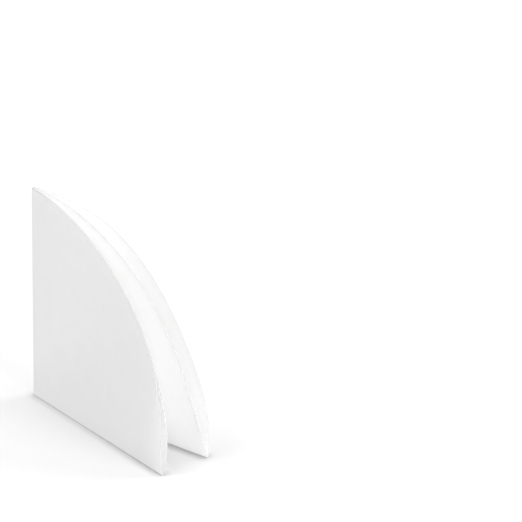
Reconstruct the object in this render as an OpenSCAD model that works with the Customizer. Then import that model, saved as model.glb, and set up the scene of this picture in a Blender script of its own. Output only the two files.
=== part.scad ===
// Folded filter paper: one round sheet, creased across its middle and then across that crease,
// so four plies lie in two panels. It stands on its two bottom folds like an open card.
//
// Frame: +X runs from the upright fold to the open side, midway between the panels. The front
// panel is on -Y and the back panel on +Y. The origin is under the middle of the bounding box.
// Each panel has two plies: an outer one, and an inner one that faces the other panel.

/* [Disc] */
// Diameter of the disc before it is folded
disc_d = 125; // [110:5:240]
// Thickness of the paper
paper_t = 0.18; // [0.12:0.01:0.30]

/* [Folds] */
// Angle between the two panels, seen from above
opening = 14.6; // [14:0.2:40]
// Space between the two plies at the upright fold
fold_gap = 0.10; // [0.06:0.01:0.30]
// Space between the two plies at a bottom fold, where it meets the disc's edge
edge_gap = 0.30; // [0.10:0.05:1.00]
// Inside radius of the innermost ply at the upright fold
spine_r = 0.10; // [0.05:0.05:0.60]

/* [Front panel] */
// How far both of its plies bow in towards the back panel
front_bow = 2.5; // [0:0.1:4]
// Angle up from the bottom fold at which that bow is largest
front_bow_at = 33; // [25:1:45]
// How far its bottom fold springs each ply off the other
front_spring = 0.8; // [0:0.1:2]
// Angle up from the bottom fold at which they stand furthest apart
front_spring_at = 8; // [6:1:16]

/* [Back panel] */
// How far its inner ply bows in towards the front panel
back_inner_bow = 3.6; // [0:0.1:4]
// Angle up from the bottom fold at which that bow is largest
back_inner_bow_at = 33; // [25:1:45]
// How far its outer ply bows out, away from the front panel
back_outer_bow = 2.7; // [0:0.1:5]
// Angle up from the bottom fold at which that bow is largest
back_outer_bow_at = 64; // [30:1:75]
// How far its bottom fold springs each ply off the other
back_spring = 1.0; // [0:0.1:2]
// Angle up from the bottom fold at which they stand furthest apart
back_spring_at = 13; // [6:1:16]

/* [Fineness] */
// Columns of facets across each panel
columns = 26; // [12:1:36]
// Rows of facets up each ply
rows = 14; // [8:1:18]
// Facets round the upright fold
spine_facets = 8; // [4:2:12]

/* [Hidden] */

disc_r = disc_d / 2;
// Ply centres lie this far to each side of the crease line
ply_offset = (fold_gap + paper_t) / 2;
// The crease line turns round the upright fold at this radius, through this angle
crease_r = spine_r + paper_t + fold_gap / 2;
crease_turn = 180 - opening;
// Length of crease line from the disc's centre to where a panel starts
crease_half_arc = crease_r * crease_turn / 2 * PI / 180;
// The corner of each panel is cut off where it is this high, since a tip can't be nothing
tip_h = 1.2;
// Rows crowd towards the bottom fold, where the plies curve most
row_crowding = 1.3;
// A bow fades into its two folds: 1 meets them at an angle, 2 lies flat on them
bow_fade = 1.5;

// --- Bending -------------------------------------------------------------------------------
// A ply bends as a cone does, with its point at the disc's centre: every straight line on it
// runs through that point. So its bend depends only on the angle up from the bottom fold, and
// grows with the distance from the centre. Both shapes below are 1 at their largest.

// A bow over the whole ply, from the bottom fold (0) to the upright fold (90)
function bow_shape(angle, at) =
    pow(sin(180 * pow(angle / 90, ln(0.5) / ln(at / 90))), bow_fade);

// A bulge just above the bottom fold, which dies away further up
function spring_shape(angle, at) = angle / at * fade_shape(angle, at) * exp(0.5);
function fade_shape(angle, at) = exp(-pow(angle / at, 2) / 2);

// How far two plies stand apart because of their bottom fold, at the disc's edge: each ply has
// half of what the fold itself is open by, and all of its own spring
function sprung(angle, spring, at) =
    spring * spring_shape(angle, at) + (edge_gap - fold_gap) / 2 * fade_shape(angle, at);

// How far out of its flat panel each ply lies at the disc's edge; outwards is positive. The
// outer plies are on side 1 and the inner ones on side -1.
function front_bend(angle, side) =
    side * sprung(angle, front_spring, front_spring_at)
    - front_bow * bow_shape(angle, front_bow_at);
function back_bend(angle, side) =
    side * sprung(angle, back_spring, back_spring_at)
    + (side > 0 ? back_outer_bow * bow_shape(angle, back_outer_bow_at)
                : -back_inner_bow * bow_shape(angle, back_inner_bow_at));

// Where a ply's centre lies from the crease line, at distance d along it and height z. The
// front panel's d is positive and the back panel's negative.
function ply_at(d, z, side) =
    let (
        angle = atan2(z, abs(d)),
        bend = d > 0 ? front_bend(angle, side) : back_bend(angle, side)
    )
    side * ply_offset + bend * norm([d, z]) / disc_r;

// --- The crease line, seen from above -------------------------------------------------------
// Direction that faces outwards from the crease line, as an angle from +X
function outward_at(d) =
    180 + crease_turn / 2 * min(1, max(-1, d / crease_half_arc));

// A point offset outwards from the crease line
function crease_at(d, offset) =
    let (
        facing = outward_at(d),
        outward = [cos(facing), sin(facing)],
        along = d > 0 ? [-outward[1], outward[0]] : [outward[1], -outward[0]],
        run = max(0, abs(d) - crease_half_arc)
    )
    (crease_r + offset) * outward + run * along;

// --- The sheet ------------------------------------------------------------------------------
// The solid is swept along the crease line. Its section is a tall thin U: up the outer ply,
// down it again, round the bottom fold, and up and down the inner ply.
tip_d = sqrt(disc_r * disc_r - tip_h * tip_h);
tip_angle = asin(tip_h / disc_r);
panel_angle = acos(crease_half_arc / disc_r);

// Columns stand at even steps along the disc's edge, and even steps round the upright fold
panel_d = [for (i = [0 : columns])
    disc_r * cos(tip_angle + (panel_angle - tip_angle) * i / columns)];
spine_d = [for (i = [1 : spine_facets - 1]) crease_half_arc * (1 - 2 * i / spine_facets)];
column_d = concat(panel_d, spine_d, [for (i = [columns : -1 : 0]) -panel_d[i]]);

function column_height(d) = sqrt(disc_r * disc_r - d * d);

// Height of row k in a column of height h, whose lowest row is at height low
function row_z(k, h, low) = low + (h - low) * pow(k / rows, row_crowding);

// One side of one ply in a column, from the bottom up: [offset, height] pairs
function ply_side(d, side, face, low) =
    [for (k = [0 : rows])
        let (z = row_z(k, column_height(d), low))
        [ply_at(d, z, side) + face * paper_t / 2, z]];

function reversed(list) = [for (i = [len(list) - 1 : -1 : 0]) list[i]];

// The whole section: outer ply's outer side downwards, the flat of the bottom fold, the inner
// ply's inner side upwards, then back down between the plies and up again
function section_at(d) = concat(
    reversed(ply_side(d, 1, 1, paper_t / 2)),
    [[ply_at(d, 0, 1), 0], [ply_at(d, 0, -1), 0]],
    ply_side(d, -1, -1, paper_t / 2),
    reversed(ply_side(d, -1, 1, paper_t)),
    ply_side(d, 1, -1, paper_t)
);

section_points = 4 * (rows + 1) + 2;

sheet_points = [for (d = column_d) for (p = section_at(d))
    let (q = crease_at(d, p[0]))
    [q[0], q[1], p[1]]];

function point_id(column, i) = column * section_points + i % section_points;

// Four-sided facets between neighbouring columns, each cut into two
sheet_walls = [for (c = [0 : len(column_d) - 2]) for (i = [0 : section_points - 1])
    each [
        [point_id(c, i), point_id(c + 1, i + 1), point_id(c + 1, i)],
        [point_id(c, i), point_id(c, i + 1), point_id(c + 1, i + 1)]
    ]];

// The end of the sheet at a corner: a strip for each ply and one across the bottom fold.
// Places in the section: the outer ply's two sides and the inner ply's two sides at row k
function outer_out(k) = rows - k;
function inner_in(k) = rows + 3 + k;
function inner_out(k) = 3 * rows + 4 - k;
function outer_in(k) = 3 * rows + 5 + k;

function end_faces(column) = [for (f = concat(
    [for (k = [0 : rows - 1]) [outer_out(k), outer_out(k + 1), outer_in(k + 1), outer_in(k)]],
    [for (k = [0 : rows - 1]) [inner_out(k), inner_out(k + 1), inner_in(k + 1), inner_in(k)]],
    [[rows + 1, outer_out(0), outer_in(0), inner_out(0), inner_in(0), rows + 2]]
)) [for (i = f) point_id(column, i)]];

function flipped(faces) = [for (f = faces) reversed(f)];

// Middle of the sheet's bounding box, seen from above
sheet_x = [for (p = sheet_points) p[0]];
sheet_y = [for (p = sheet_points) p[1]];
sheet_mid = [(min(sheet_x) + max(sheet_x)) / 2, (min(sheet_y) + max(sheet_y)) / 2, 0];

module filter_paper() {
    color("whitesmoke")
    translate(-sheet_mid)
    polyhedron(
        points = sheet_points,
        faces = concat(
            sheet_walls,
            end_faces(0),
            flipped(end_faces(len(column_d) - 1))
        ),
        convexity = 8
    );
}

filter_paper();
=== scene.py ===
"""Folded filter paper: one round sheet, creased twice and stood on its two bottom folds.

The sheet starts as a flat grid, is folded in code, gets its thickness, and is dressed as soft,
wet-laid cellulose paper. Sizes are in millimetres and angles in degrees unless a name says
otherwise. Blender works in metres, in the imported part's own frame.
"""

import logging
import math
from dataclasses import dataclass, field
from enum import Enum

import bpy
import numpy as np
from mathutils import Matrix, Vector


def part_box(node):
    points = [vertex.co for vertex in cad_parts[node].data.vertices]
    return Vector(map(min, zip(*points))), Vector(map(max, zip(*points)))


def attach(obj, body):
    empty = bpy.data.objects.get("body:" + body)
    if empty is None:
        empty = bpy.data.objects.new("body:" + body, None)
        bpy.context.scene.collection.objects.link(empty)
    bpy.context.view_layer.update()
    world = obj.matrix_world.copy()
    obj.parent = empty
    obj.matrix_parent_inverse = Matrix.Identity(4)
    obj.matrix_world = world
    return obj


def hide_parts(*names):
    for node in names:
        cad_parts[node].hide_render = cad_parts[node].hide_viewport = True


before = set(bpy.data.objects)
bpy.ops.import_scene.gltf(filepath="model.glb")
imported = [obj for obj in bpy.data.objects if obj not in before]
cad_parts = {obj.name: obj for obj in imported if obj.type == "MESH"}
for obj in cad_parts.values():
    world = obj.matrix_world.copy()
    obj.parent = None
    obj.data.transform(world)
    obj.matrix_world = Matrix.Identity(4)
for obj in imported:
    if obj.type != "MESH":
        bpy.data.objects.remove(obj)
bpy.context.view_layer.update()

MM = 0.001
NODE = "filter_paper"
BODY = "root"
FLAT_MAP = "flat_disc"

# The Mix node's sockets share their names, so they are taken by number
MIX_SHARE = 0
MIX_NUMBER_A, MIX_NUMBER_B, MIXED_NUMBER = 2, 3, 0
MIX_COLOUR_A, MIX_COLOUR_B, MIXED_COLOUR = 6, 7, 2

log = logging.getLogger("filter_paper")


class Ply(Enum):
    """Which of a panel's two plies, by the sign of its offset from the crease line."""

    OUTER = 1
    INNER = -1


def linear_colour(hex_colour: str) -> tuple[float, float, float, float]:
    """Turns an sRGB hex colour into the linear colour that Blender's sockets take.

    Args:
        hex_colour: Six hex digits after a hash, as in "#F2F2F0".

    Returns:
        Linear red, green, blue and an alpha of 1.
    """
    shares = [int(hex_colour[i : i + 2], 16) / 255 for i in (1, 3, 5)]
    linear = [s / 12.92 if s <= 0.04045 else ((s + 0.055) / 1.055) ** 2.4 for s in shares]
    return (*linear, 1.0)


def add_node(
    tree: bpy.types.NodeTree,
    kind: str,
    values: dict | None = None,
    links: dict | None = None,
    **settings: object,
) -> bpy.types.Node:
    """Adds one shader node.

    Args:
        tree: The node tree it goes into.
        kind: The node's type name.
        values: Plain values for its inputs, by name or number.
        links: Output sockets to link to its inputs, by name or number.
        **settings: Properties set on the node itself.

    Returns:
        The new node.
    """
    node = tree.nodes.new(kind)
    for name, value in settings.items():
        setattr(node, name, value)
    for name, value in (values or {}).items():
        node.inputs[name].default_value = value
    for name, source in (links or {}).items():
        tree.links.new(source, node.inputs[name])
    return node


def new_material(name: str) -> tuple[bpy.types.Material, bpy.types.NodeTree]:
    """Makes an empty node material.

    Args:
        name: The material's name.

    Returns:
        The material and its node tree, which holds no nodes yet.
    """
    material = bpy.data.materials.new(name)
    material.use_nodes = True
    material.node_tree.nodes.clear()
    return material, material.node_tree


# --- Finishes --------------------------------------------------------------------------------


@dataclass(frozen=True)
class CellulosePaper:
    """Soft filter paper: wet-laid cotton cellulose, dried without glazing or coating.

    The eye gets a dead matt, almost white sheet. Light scatters in it and a little comes out of
    the other side. The fibres lie in faint clouds, and where the sheet is creased they are
    crushed and a little lighter, a band that is also painted light along the folds. The
    sheared edge is coloured darker, as painted shade.
    """

    name: str = "wet_laid_cellulose_paper"
    # Sheet colour, and the colour where its fibres lie thin
    colour: str = "#F9F9F9"
    thin_colour: str = "#F5F5F5"
    # Colour of a crushed crease, a little lighter for its crushed fibres and also as painted
    # light along the folds, and how far it reaches to each side of it
    crease_crush_and_painted_light_colour: str = "#FCFCFC"
    crease_half_mm: float = 0.55
    # Painted shade: the sheared edge is coloured darker than the faces, so that the lamps do not
    # light it as a bright line and it shows as the shadow line along the rims
    painted_edge_shade_colour: str = "#B8B8B8"
    painted_edge_shade_half_mm: float = 0.03
    # Light that leaves the sheet on its other side, and the share of all its light that does
    through_colour: str = "#FAFAFA"
    through_share: float = 0.10
    # Unglazed fibres scatter light evenly, so there is hardly a highlight
    roughness: float = 0.95
    specular: float = 0.12
    diffuse_roughness: float = 0.6
    # Refraction of cellulose
    ior: float = 1.47
    # Clouds of fibres are about this wide
    cloud_mm: float = 4.5
    cloud_detail: float = 3.0
    cloud_roughness: float = 0.55
    # Fibres are 1 to 2 mm long and 0.03 mm thick. They are drawn 0.35 mm thick, so as to show.
    fibre_length_mm: float = 2.4
    fibre_width_mm: float = 0.35
    fibre_detail: float = 2.0
    fibre_roughness: float = 0.6
    fibre_waviness: float = 0.4
    fibre_turns_deg: tuple[float, ...] = (17.0, 79.0, 141.0)
    # Height of the relief, and how much of it the clouds make beside the fibres
    relief_mm: float = 0.02
    relief_share: float = 0.35
    cloud_height: float = 0.6

    def disc_place(self, tree: bpy.types.NodeTree, disc_d: float) -> bpy.types.NodeSocket:
        """Adds the nodes that give a point's place on the flat disc.

        Args:
            tree: The node tree they go into.
            disc_d: Diameter of the flat disc, which its UV map spans.

        Returns:
            The socket that holds the place, in mm from the disc's centre.
        """
        flat = add_node(tree, "ShaderNodeUVMap", uv_map=FLAT_MAP)
        return add_node(
            tree,
            "ShaderNodeVectorMath",
            {1: (disc_d, disc_d, 0), 2: (-disc_d / 2, -disc_d / 2, 0)},
            {0: flat.outputs["UV"]},
            operation="MULTIPLY_ADD",
        ).outputs["Vector"]

    def clouds(
        self, tree: bpy.types.NodeTree, place: bpy.types.NodeSocket
    ) -> bpy.types.NodeSocket:
        """Adds the faint clouds in which the fibres lie.

        Args:
            tree: The node tree they go into.
            place: Place on the flat disc, in mm.

        Returns:
            The socket that holds how thick the sheet is, from 0 to 1.
        """
        return add_node(
            tree,
            "ShaderNodeTexNoise",
            {
                "Scale": 1 / self.cloud_mm,
                "Detail": self.cloud_detail,
                "Roughness": self.cloud_roughness,
            },
            {"Vector": place},
        ).outputs["Fac"]

    def fibres(
        self, tree: bpy.types.NodeTree, place: bpy.types.NodeSocket
    ) -> bpy.types.NodeSocket:
        """Adds layers of fibres, each turned its own way, and keeps the topmost of them.

        Args:
            tree: The node tree they go into.
            place: Place on the flat disc, in mm.

        Returns:
            The socket that holds the fibres' height, from 0 to 1.
        """
        top = None
        for turn in self.fibre_turns_deg:
            laid = add_node(
                tree,
                "ShaderNodeMapping",
                {
                    # Moved along by its own turn, so that no two layers are alike
                    "Location": (turn, 0, 0),
                    "Rotation": (0, 0, math.radians(turn)),
                    "Scale": (1 / self.fibre_length_mm, 1 / self.fibre_width_mm, 1),
                },
                {"Vector": place},
            )
            layer = add_node(
                tree,
                "ShaderNodeTexNoise",
                {
                    "Scale": 1.0,
                    "Detail": self.fibre_detail,
                    "Roughness": self.fibre_roughness,
                    "Distortion": self.fibre_waviness,
                },
                {"Vector": laid.outputs["Vector"]},
            ).outputs["Fac"]
            if top is None:
                top = layer
                continue
            top = add_node(
                tree, "ShaderNodeMath", links={0: top, 1: layer}, operation="MAXIMUM"
            ).outputs["Value"]
        return top

    def near_crease(
        self, tree: bpy.types.NodeTree, place: bpy.types.NodeSocket
    ) -> bpy.types.NodeSocket:
        """Adds the crushing along the two creases, which cross at the disc's centre, where the
        lighter colour is partly painted light.

        Args:
            tree: The node tree it goes into.
            place: Place on the flat disc, in mm.

        Returns:
            The socket that is 1 on a crease and 0 away from it.
        """
        across = add_node(tree, "ShaderNodeVectorMath", links={0: place}, operation="ABSOLUTE")
        parts = add_node(tree, "ShaderNodeSeparateXYZ", links={0: across.outputs["Vector"]})
        nearest = add_node(
            tree,
            "ShaderNodeMath",
            links={0: parts.outputs["X"], 1: parts.outputs["Y"]},
            operation="MINIMUM",
        )
        return add_node(
            tree,
            "ShaderNodeMapRange",
            {"From Min": self.crease_half_mm, "From Max": 0.0, "To Min": 0.0, "To Max": 1.0},
            {"Value": nearest.outputs["Value"]},
            interpolation_type="SMOOTHSTEP",
        ).outputs["Result"]

    def painted_edge_shade_mask(
        self, tree: bpy.types.NodeTree, place: bpy.types.NodeSocket, disc_d: float
    ) -> bpy.types.NodeSocket:
        """Adds the test for the sheared edge, whose colour is darkened as painted shade.

        Args:
            tree: The node tree it goes into.
            place: Place on the flat disc, in mm.
            disc_d: Diameter of the flat disc.

        Returns:
            The socket that is 1 on the edge and 0 on the faces.
        """
        radius = add_node(tree, "ShaderNodeVectorMath", links={0: place}, operation="LENGTH")
        return add_node(
            tree,
            "ShaderNodeMath",
            {1: disc_d / 2 - self.painted_edge_shade_half_mm},
            {0: radius.outputs["Value"]},
            operation="GREATER_THAN",
        ).outputs["Value"]

    def relief(
        self,
        tree: bpy.types.NodeTree,
        clouds: bpy.types.NodeSocket,
        fibres: bpy.types.NodeSocket,
    ) -> bpy.types.NodeSocket:
        """Adds the fine relief of the sheet.

        Args:
            tree: The node tree it goes into.
            clouds: How thick the sheet is.
            fibres: How high its fibres stand.

        Returns:
            The socket that holds the surface's normal.
        """
        height = add_node(
            tree,
            "ShaderNodeMath",
            {1: self.cloud_height},
            {0: clouds, 2: fibres},
            operation="MULTIPLY_ADD",
        )
        return add_node(
            tree,
            "ShaderNodeBump",
            {"Strength": self.relief_share, "Distance": self.relief_mm * MM},
            {"Height": height.outputs["Value"]},
        ).outputs["Normal"]

    def material(self, disc_d: float) -> bpy.types.Material:
        """Builds the material on the flat disc's own coordinates.

        Args:
            disc_d: Diameter of the flat disc, which its UV map spans.

        Returns:
            The finished material.
        """
        material, tree = new_material(self.name)
        place = self.disc_place(tree, disc_d)
        clouds = self.clouds(tree, place)
        colour = add_node(
            tree,
            "ShaderNodeMix",
            {
                MIX_COLOUR_A: linear_colour(self.thin_colour),
                MIX_COLOUR_B: linear_colour(self.colour),
            },
            {MIX_SHARE: clouds},
            data_type="RGBA",
        ).outputs[MIXED_COLOUR]
        # Laid over the sheet's colour: the crease's lighter band, which is crushed fibres and
        # also painted light, and the edge's painted shade
        for laid_over, share in (
            (self.crease_crush_and_painted_light_colour, self.near_crease(tree, place)),
            (self.painted_edge_shade_colour, self.painted_edge_shade_mask(tree, place, disc_d)),
        ):
            colour = add_node(
                tree,
                "ShaderNodeMix",
                {MIX_COLOUR_B: linear_colour(laid_over)},
                {MIX_SHARE: share, MIX_COLOUR_A: colour},
                data_type="RGBA",
            ).outputs[MIXED_COLOUR]

        normal = self.relief(tree, clouds, self.fibres(tree, place))
        lit = add_node(
            tree,
            "ShaderNodeBsdfPrincipled",
            {
                "Roughness": self.roughness,
                "Specular IOR Level": self.specular,
                "Diffuse Roughness": self.diffuse_roughness,
                "IOR": self.ior,
            },
            {"Base Color": colour, "Normal": normal},
        )
        through = add_node(
            tree,
            "ShaderNodeBsdfTranslucent",
            {"Color": linear_colour(self.through_colour)},
            {"Normal": normal},
        )
        # Light already inside the sheet passes on out of it, whichever face it meets
        side = add_node(tree, "ShaderNodeNewGeometry")
        passed = add_node(
            tree,
            "ShaderNodeMath",
            {1: self.through_share},
            {0: side.outputs["Backfacing"]},
            operation="MAXIMUM",
        )
        both = add_node(
            tree,
            "ShaderNodeMixShader",
            links={
                0: passed.outputs["Value"],
                1: lit.outputs["BSDF"],
                2: through.outputs["BSDF"],
            },
        )
        add_node(tree, "ShaderNodeOutputMaterial", links={0: both.outputs["Shader"]})
        return material


@dataclass(frozen=True)
class WhiteBoard:
    """Matt white painted board under the paper: even, with no gloss and no grain, but with a
    contact shadow painted into its colour beside the paper.
    """

    name: str = "matt_white_board"
    colour: str = "#E7E7E7"
    # Painted contact shadow: the board's colour is darkened this close to where the paper rests
    # on it, and by this share
    painted_contact_shadow_mm: float = 3.0
    painted_contact_shadow_share: float = 0.62
    painted_contact_shadow_samples: int = 16

    def material(self) -> bpy.types.Material:
        """Builds the board's material, with shade painted into its colour where the paper shuts
        off the light.

        Returns:
            The finished material.
        """
        material, tree = new_material(self.name)
        # Painted shadow: ambient occlusion darkens the board's colour near the paper
        contact = add_node(
            tree,
            "ShaderNodeAmbientOcclusion",
            {"Color": linear_colour(self.colour), "Distance": self.painted_contact_shadow_mm * MM},
            samples=self.painted_contact_shadow_samples,
        )
        # The painted shadow shows to the camera only; light that the board throws back onto the
        # paper is left as it is
        path = add_node(tree, "ShaderNodeLightPath")
        share = add_node(
            tree,
            "ShaderNodeMath",
            {1: self.painted_contact_shadow_share},
            {0: path.outputs["Is Camera Ray"]},
            operation="MULTIPLY",
        )
        shaded = add_node(
            tree,
            "ShaderNodeMix",
            {MIX_COLOUR_A: linear_colour(self.colour)},
            {MIX_SHARE: share.outputs["Value"], MIX_COLOUR_B: contact.outputs["Color"]},
            data_type="RGBA",
        ).outputs[MIXED_COLOUR]
        board = add_node(tree, "ShaderNodeBsdfDiffuse", links={"Color": shaded})
        add_node(tree, "ShaderNodeOutputMaterial", links={0: board.outputs["BSDF"]})
        return material


def seen_directly(tree: bpy.types.NodeTree, path: bpy.types.Node) -> bpy.types.NodeSocket:
    """Adds the nodes that are 1 for rays that show a background: camera, glossy, transmission.

    Light that has scattered inside the paper counts as a transmission ray and as a diffuse one,
    and it shows no background.

    Args:
        tree: The node tree they go into.
        path: A Light Path node.

    Returns:
        The socket that holds 1 for such a ray and 0 for any other.
    """
    shown = path.outputs["Is Camera Ray"]
    for name in ("Is Glossy Ray", "Is Transmission Ray"):
        shown = add_node(
            tree,
            "ShaderNodeMath",
            links={0: shown, 1: path.outputs[name]},
            operation="MAXIMUM",
        ).outputs["Value"]
    return add_node(
        tree,
        "ShaderNodeMath",
        links={0: shown, 1: path.outputs["Is Diffuse Ray"]},
        operation="SUBTRACT",
        use_clamp=True,
    ).outputs["Value"]


# --- The sheet -------------------------------------------------------------------------------


@dataclass(frozen=True)
class PlyBend:
    """How far one ply bends out of flat at the disc's edge, in mm; outwards is positive.

    The bow and the lip are each largest at an angle up from the bottom fold, and fade out
    towards both folds. The spring pushes the ply off its bottom fold, furthest at its angle.
    """

    bow: float
    bow_at: float
    # 0 lets the bow grow evenly from the disc's centre; below 0, more of it lies near there
    curl: float
    spring: float
    spring_at: float
    # The spring grows with this power of the distance from the disc's centre
    spring_power: float = 1.0
    # How far the last few millimetres curl, where they curl most, and how many they are
    lip: float = 0.0
    lip_at: float = 33.0
    lip_mm: float = 6.0


@dataclass
class FoldedSheet:
    """The paper itself, from a flat disc to a closed, folded sheet with its real thickness."""

    name: str = "folded_sheet"
    disc_d: float = 125.0
    paper_t: float = 0.18
    # Angle between the two panels, seen from above
    opening_deg: float = 14.6
    # Space between two plies at the upright fold, and at a bottom fold's far end
    fold_gap: float = 0.10
    edge_gap: float = 0.30
    # Inside radius of the innermost ply at the upright fold
    spine_r: float = 0.10
    # A panel's corner is cut off where it is this high
    tip_h: float = 1.2
    front_outer: PlyBend = PlyBend(
        bow=-2.2, bow_at=33.0, curl=-1.8, spring=1.0, spring_at=10.0, spring_power=3.0
    )
    front_inner: PlyBend = PlyBend(
        bow=-2.2, bow_at=33.0, curl=-1.8, spring=-0.75, spring_at=8.0, spring_power=10.0
    )
    back_outer: PlyBend = PlyBend(
        bow=2.7, bow_at=64.0, curl=-1.0, spring=1.0, spring_at=13.0, lip=-1.2, lip_at=42.0
    )
    back_inner: PlyBend = PlyBend(
        bow=-3.6,
        bow_at=33.0,
        curl=-1.5,
        spring=-1.0,
        spring_at=13.0,
        lip=-1.2,
        lip_at=30.0,
        lip_mm=4.5,
    )
    # A bow fades into its two folds: 1 meets them at an angle, 2 lies flat on them
    bow_fade: float = 1.5
    # Facets across a panel, up a ply, round a bottom fold and round the upright fold
    columns: int = 110
    rows: int = 68
    fold_steps: int = 8
    spine_steps: int = 12
    # Rows crowd towards the bottom fold, where the plies curve most
    row_crowding: float = 1.3
    # Height over which a ply takes up what is left between it and its bottom fold
    fold_blend_mm: float = 1.0
    # Faces that meet at more than this angle keep a sharp edge between them
    sharp_deg: float = 40.0

    @property
    def disc_r(self) -> float:
        """Radius of the disc."""
        return self.disc_d / 2

    @property
    def ply_offset(self) -> float:
        """Distance of each ply's middle from the crease line, at the upright fold."""
        return (self.fold_gap + self.paper_t) / 2

    @property
    def tip_gap(self) -> float:
        """How much farther each ply stands off at the tips than at the upright fold."""
        return (self.edge_gap - self.fold_gap) / 2

    @property
    def crease_r(self) -> float:
        """Radius at which the crease line turns round the upright fold."""
        return self.spine_r + self.paper_t + self.fold_gap / 2

    @property
    def crease_turn(self) -> float:
        """Angle through which the crease line turns, in radians."""
        return math.radians(180 - self.opening_deg)

    @property
    def crease_half_arc(self) -> float:
        """Length of crease line from the disc's centre to where a panel starts."""
        return self.crease_r * self.crease_turn / 2

    def bends(self, ply: Ply) -> tuple[PlyBend, PlyBend]:
        """Looks up the bends of a ply.

        Args:
            ply: Which ply.

        Returns:
            Its bends on the front panel and on the back panel.
        """
        if ply is Ply.OUTER:
            return self.front_outer, self.back_outer
        return self.front_inner, self.back_inner

    def bow_shape(self, angle: np.ndarray, at: float) -> np.ndarray:
        """Shape of a bow over a ply, 0 at both folds and 1 at its angle.

        Args:
            angle: Angles up from the bottom fold.
            at: The angle where the bow is largest.

        Returns:
            The share of the bow at each angle.
        """
        warp = math.log(0.5) / math.log(at / 90)
        return np.clip(np.sin(np.pi * (angle / 90) ** warp), 0, None) ** self.bow_fade

    def bent(self, angle: np.ndarray, reach: np.ndarray, bend: PlyBend) -> np.ndarray:
        """How far a ply stands outwards of its flat place.

        Args:
            angle: Angles up from the bottom fold.
            reach: Distances from the disc's centre, 1 at its edge.
            bend: The ply's bends.

        Returns:
            The distance at each point.
        """
        bowed = bend.bow * self.bow_shape(angle, bend.bow_at)
        fade = np.exp(-((angle / bend.spring_at) ** 2) / 2)
        # The last factor makes the spring whole at its own angle
        sprung = bend.spring * angle / bend.spring_at * fade * math.exp(0.5)
        opened = math.copysign(self.tip_gap, bend.spring) * fade
        lipped = bend.lip * self.bow_shape(angle, bend.lip_at)
        return (
            bowed * reach * (1 + bend.curl * (reach - 1))
            + sprung * reach**bend.spring_power
            + opened * reach
            + lipped * (np.exp((reach - 1) * self.disc_r / bend.lip_mm) - reach)
        )

    def ply_at(self, d: np.ndarray, z: np.ndarray, ply: Ply) -> np.ndarray:
        """How far a ply's middle lies from the crease line.

        Args:
            d: Distances along the crease line, positive on the front panel.
            z: Heights.
            ply: Which ply.

        Returns:
            The offset at each point, outwards positive.
        """
        angle = np.degrees(np.arctan2(z, np.abs(d)))
        reach = np.hypot(d, z) / self.disc_r
        front, back = (self.bent(angle, reach, bend) for bend in self.bends(ply))
        return ply.value * self.ply_offset + np.where(d > 0, front, back)

    def crease_at(self, d: np.ndarray, offset: np.ndarray) -> np.ndarray:
        """Points beside the crease line, seen from above.

        Args:
            d: Distances along the crease line, positive on the front panel.
            offset: Distances outwards from it.

        Returns:
            X and Y of each point, from the middle of the upright fold's turn.
        """
        facing = np.pi + self.crease_turn / 2 * np.clip(d / self.crease_half_arc, -1, 1)
        outward = np.stack([np.cos(facing), np.sin(facing)], -1)
        along = np.stack([-outward[..., 1], outward[..., 0]], -1) * np.sign(d)[..., None]
        run = np.maximum(0, np.abs(d) - self.crease_half_arc)
        return (self.crease_r + offset)[..., None] * outward + run[..., None] * along

    def column_places(self) -> np.ndarray:
        """Where the grid's columns stand along the crease line, from the front tip to the back.

        Returns:
            One distance for each column.
        """
        tip = math.asin(self.tip_h / self.disc_r)
        start = math.acos(self.crease_half_arc / self.disc_r)
        panel = self.disc_r * np.cos(np.linspace(start, tip, self.columns + 1))
        spine = np.linspace(-1, 1, self.spine_steps + 1)[1:-1] * self.crease_half_arc
        return np.concatenate([panel[::-1], spine[::-1], -panel])

    def fold_slope(self, d: np.ndarray, ply: Ply) -> np.ndarray:
        """How steeply a ply springs off its bottom fold, easing to upright at the upright fold.

        Args:
            d: Distances along the crease line, positive on the front panel.
            ply: Which ply.

        Returns:
            Offset gained for each mm of height.
        """
        reach = np.abs(d) / self.disc_r
        front, back = (
            abs(bend.spring) / bend.spring_at * reach ** (bend.spring_power - 1)
            for bend in self.bends(ply)
        )
        easing = np.clip(np.abs(d) / self.crease_half_arc, 0, 1)
        per_degree = math.exp(0.5) * np.where(d > 0, front, back) * easing
        return per_degree * math.degrees(1) / self.disc_r

    def half_section(self, d: np.ndarray, ply: Ply) -> tuple[np.ndarray, np.ndarray, np.ndarray]:
        """Places one ply and its half of the bottom fold, from the fold's middle upwards.

        Args:
            d: Distances along the crease line, as a column.
            ply: Which ply.

        Returns:
            Offset from the crease line, height, and place across the flat disc, each as
            columns by rows.
        """
        half = self.fold_steps // 2
        step = np.arange(self.rows + half + 1)[None, :]
        on_ply = step > half
        height = np.sqrt(self.disc_r**2 - d**2)

        # The fold is an arc that meets the ply at the slope it springs off at
        slope = self.fold_slope(d, ply)
        lean = np.arctan(slope)
        gap = self.ply_offset + self.tip_gap * np.abs(d) / self.disc_r
        arc_r = (gap + slope * self.paper_t / 2) / (np.cos(lean) - slope * (1 - np.sin(lean)))
        arc_z = arc_r + self.paper_t / 2
        turn = np.clip(step / half, 0, 1) * (np.pi / 2 - lean)
        arc_offset = ply.value * arc_r * np.sin(turn)

        low = arc_z - arc_r * np.sin(lean)
        share = np.clip((step - half) / self.rows, 0, 1) ** self.row_crowding
        up = low + (height - low) * share
        # What is left between the arc and the ply dies out going up
        miss = ply.value * arc_r * np.cos(lean) - self.ply_at(d, low, ply)
        ply_offset = self.ply_at(d, up, ply) + miss * np.exp((low - up) / self.fold_blend_mm)

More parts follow.
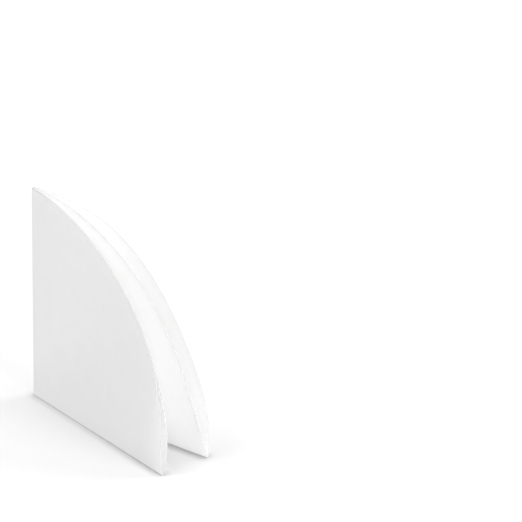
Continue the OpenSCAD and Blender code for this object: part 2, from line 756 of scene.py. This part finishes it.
        offset = np.where(on_ply, ply_offset, arc_offset)
        z = np.where(on_ply, up, arc_z - arc_r * np.cos(turn))
        length = arc_r * turn + np.where(on_ply, up - low, 0)
        whole = arc_r * (np.pi / 2 - lean) + height - low
        return offset, z, ply.value * length * height / whole

    def folded_points(self) -> tuple[np.ndarray, np.ndarray]:
        """Places every grid point on the folded sheet and on the flat disc.

        Returns:
            Folded points and flat points, each as columns by rows.
        """
        d = self.column_places()[:, None]
        halves = zip(self.half_section(d, Ply.OUTER), self.half_section(d, Ply.INNER))
        # The outer ply runs down to the middle of the fold, which the inner ply starts with
        offset, z, across = (np.concatenate([out[:, :0:-1], inn], 1) for out, inn in halves)
        d = np.broadcast_to(d, offset.shape)
        folded = np.concatenate([self.crease_at(d, offset), z[..., None]], -1)
        return folded, np.stack([d, across], -1)

    def shift(self, folded: np.ndarray) -> np.ndarray:
        """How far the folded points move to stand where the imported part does.

        Args:
            folded: Folded points, from the middle of the upright fold's turn.

        Returns:
            X, Y and Z of the move.
        """
        low, high = (np.array(corner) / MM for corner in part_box(NODE))
        half_t = self.paper_t / 2
        own_low = folded.reshape(-1, 3).min(0) - half_t
        own_high = folded.reshape(-1, 3).max(0) + half_t
        middle = (low + high - own_low - own_high) / 2
        return np.array([low[0] - own_low[0], middle[1], low[2] - own_low[2]])

    def foot(self) -> Vector:
        """Foot of the upright fold in the shared frame, in metres."""
        shift = self.shift(self.folded_points()[0])
        return Vector((shift[0] - self.crease_r, shift[1], 0)) * MM

    def fold_grid(self, mesh: bpy.types.Mesh, across: int, along: int) -> None:
        """Folds a flat grid into the sheet's place, and maps it to the flat disc.

        Args:
            mesh: The grid, 1 across and 1 along, with its own UV map.
            across: Its faces from the front tip to the back tip.
            along: Its faces from the outer ply's edge to the inner ply's.
        """
        folded, flat = self.folded_points()
        places = (folded + self.shift(folded)) * MM
        grid = np.zeros(len(mesh.vertices) * 3, np.float32)
        mesh.vertices.foreach_get("co", grid)
        grid = grid.reshape(-1, 3)
        column = np.rint((grid[:, 0] + 0.5) * across).astype(int)
        row = np.rint((grid[:, 1] + 0.5) * along).astype(int)
        mesh.vertices.foreach_set("co", places[column, row].astype(np.float32).ravel())

        uv_layer = mesh.uv_layers[0]
        uv_layer.name = FLAT_MAP
        corner = np.zeros(len(mesh.loops), np.int32)
        mesh.loops.foreach_get("vertex_index", corner)
        on_disc = flat[column[corner], row[corner]] / self.disc_d + 0.5
        uv_layer.data.foreach_set("uv", on_disc.astype(np.float32).ravel())
        mesh.update()

    def build(self) -> bpy.types.Object:
        """Makes the sheet's mesh in the part's place.

        Returns:
            The new object, thick and closed, with its place in its mesh.
        """
        across = 2 * self.columns + self.spine_steps
        along = 2 * self.rows + self.fold_steps
        bpy.ops.object.select_all(action="DESELECT")
        bpy.ops.mesh.primitive_grid_add(
            x_subdivisions=across, y_subdivisions=along, size=1, calc_uvs=True
        )
        sheet = bpy.context.object
        sheet.name = sheet.data.name = self.name
        self.fold_grid(sheet.data, across, along)

        thick = sheet.modifiers.new("thickness", "SOLIDIFY")
        thick.thickness = self.paper_t * MM
        thick.offset = 0
        thick.use_even_offset = True
        thick.use_rim = True
        bpy.ops.object.modifier_apply(modifier=thick.name)
        bpy.ops.object.shade_smooth_by_angle(angle=math.radians(self.sharp_deg))
        return sheet

    def dress(self, sheet: bpy.types.Object, paper: CellulosePaper) -> None:
        """Gives the sheet its paper finish.

        Args:
            sheet: The sheet's object.
            paper: Its finish.
        """
        sheet.data.materials.append(paper.material(self.disc_d))


# --- Studio ----------------------------------------------------------------------------------


@dataclass(frozen=True)
class SoftSun:
    """A large, distant, soft lamp."""

    name: str
    # Where it stands, as seen from the camera: to the right of it, and above the floor
    right_deg: float
    above_deg: float
    strength: float
    spread_deg: float = 35.0


@dataclass
class Studio:
    """Floor, lamps and camera round the paper."""

    floor_m: float = 12.0
    board: WhiteBoard = field(default_factory=WhiteBoard)
    # Strength of the even light from all round, and of the white behind the board
    sky: float = 0.15
    backdrop: float = 1.0
    lamps: tuple[SoftSun, ...] = (
        SoftSun("right_front", 30.0, 12.0, 1.77),
        SoftSun("right", 45.0, 12.0, 2.84),
        SoftSun("right_side", 60.0, 12.0, 0.84),
        SoftSun("right_back", 114.0, 40.0, 1.17),
        SoftSun("back", 180.0, 55.0, 0.54),
        SoftSun("left_top", -90.0, 65.0, 1.22),
        SoftSun("left", -90.0, 40.0, 0.59),
    )
    # Viewpoint: the turn round the object and the height above the floor
    azimuth_deg: float = 47.5
    elevation_deg: float = 25.0
    lens_mm: float = 758.6
    sensor_mm: float = 36.0
    distance_mm: float = 3028.0
    nearest_m: float = 0.1
    farthest_m: float = 100.0
    # The point looked at is this far right of and above the foot of the upright fold
    aim_right_mm: float = 62.27
    aim_up_mm: float = 36.59

    def towards(self, right_deg: float, above_deg: float) -> Vector:
        """Direction from the object towards a place in the studio.

        Args:
            right_deg: How far the place is to the right of the camera.
            above_deg: How far it is above the floor.

        Returns:
            A unit vector.
        """
        turn, rise = math.radians(self.azimuth_deg + right_deg), math.radians(above_deg)
        return Vector(
            (
                math.sin(turn) * math.cos(rise),
                -math.cos(turn) * math.cos(rise),
                math.sin(rise),
            )
        )

    def add_floor(self) -> None:
        """Adds the board that the paper stands on."""
        bpy.ops.object.select_all(action="DESELECT")
        bpy.ops.mesh.primitive_plane_add(size=self.floor_m)
        floor = bpy.context.object
        floor.name = "floor"
        floor.data.materials.append(self.board.material())

    def add_world(self) -> None:
        """Adds the even light from all round, and the white that the camera sees."""
        world = bpy.data.worlds.new("studio")
        bpy.context.scene.world = world
        world.use_nodes = True
        tree = world.node_tree
        tree.nodes.clear()
        path = add_node(tree, "ShaderNodeLightPath")
        strength = add_node(
            tree,
            "ShaderNodeMix",
            {MIX_NUMBER_A: self.sky, MIX_NUMBER_B: self.backdrop},
            {MIX_SHARE: seen_directly(tree, path)},
            data_type="FLOAT",
        ).outputs[MIXED_NUMBER]
        sky = add_node(
            tree,
            "ShaderNodeBackground",
            {"Color": (1, 1, 1, 1)},
            {"Strength": strength},
        )
        add_node(tree, "ShaderNodeOutputWorld", links={0: sky.outputs["Background"]})

    def add_lamps(self) -> None:
        """Adds the soft lamps."""
        for lamp in self.lamps:
            light = bpy.data.lights.new(lamp.name, "SUN")
            light.energy = lamp.strength
            light.angle = math.radians(lamp.spread_deg)
            holder = bpy.data.objects.new(lamp.name, light)
            place = self.towards(lamp.right_deg, lamp.above_deg)
            holder.rotation_euler = place.to_track_quat("Z", "Y").to_euler()
            holder.location = place
            bpy.context.scene.collection.objects.link(holder)

    def add_camera(self, foot: Vector) -> None:
        """Adds the camera.

        Args:
            foot: The foot of the upright fold, in metres.
        """
        back = self.towards(0, self.elevation_deg)
        right = self.towards(90, 0)
        up = back.cross(right)
        aim = foot + (right * self.aim_right_mm + up * self.aim_up_mm) * MM
        data = bpy.data.cameras.new("camera")
        data.lens, data.sensor_width = self.lens_mm, self.sensor_mm
        data.clip_start, data.clip_end = self.nearest_m, self.farthest_m
        camera = bpy.data.objects.new("camera", data)
        camera.location = aim + back * self.distance_mm * MM
        camera.rotation_euler = back.to_track_quat("Z", "Y").to_euler()
        bpy.context.scene.collection.objects.link(camera)
        bpy.context.scene.camera = camera

    def build(self, foot: Vector) -> None:
        """Builds the whole studio.

        Args:
            foot: The foot of the upright fold, in metres.
        """
        self.add_floor()
        self.add_world()
        self.add_lamps()
        self.add_camera(foot)
        bpy.context.scene.view_settings.view_transform = "Standard"


def main() -> None:
    """Builds the sheet and the studio, and reports the piece."""
    logging.basicConfig(level=logging.INFO, format="%(name)s: %(message)s")
    sheet = FoldedSheet()
    piece = sheet.build()
    sheet.dress(piece, CellulosePaper())
    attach(piece, BODY)
    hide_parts(NODE)
    log.info("%s: %d faces, rides on %s", piece.name, len(piece.data.polygons), BODY)
    Studio().build(sheet.foot())


if __name__ == "__main__":
    main()
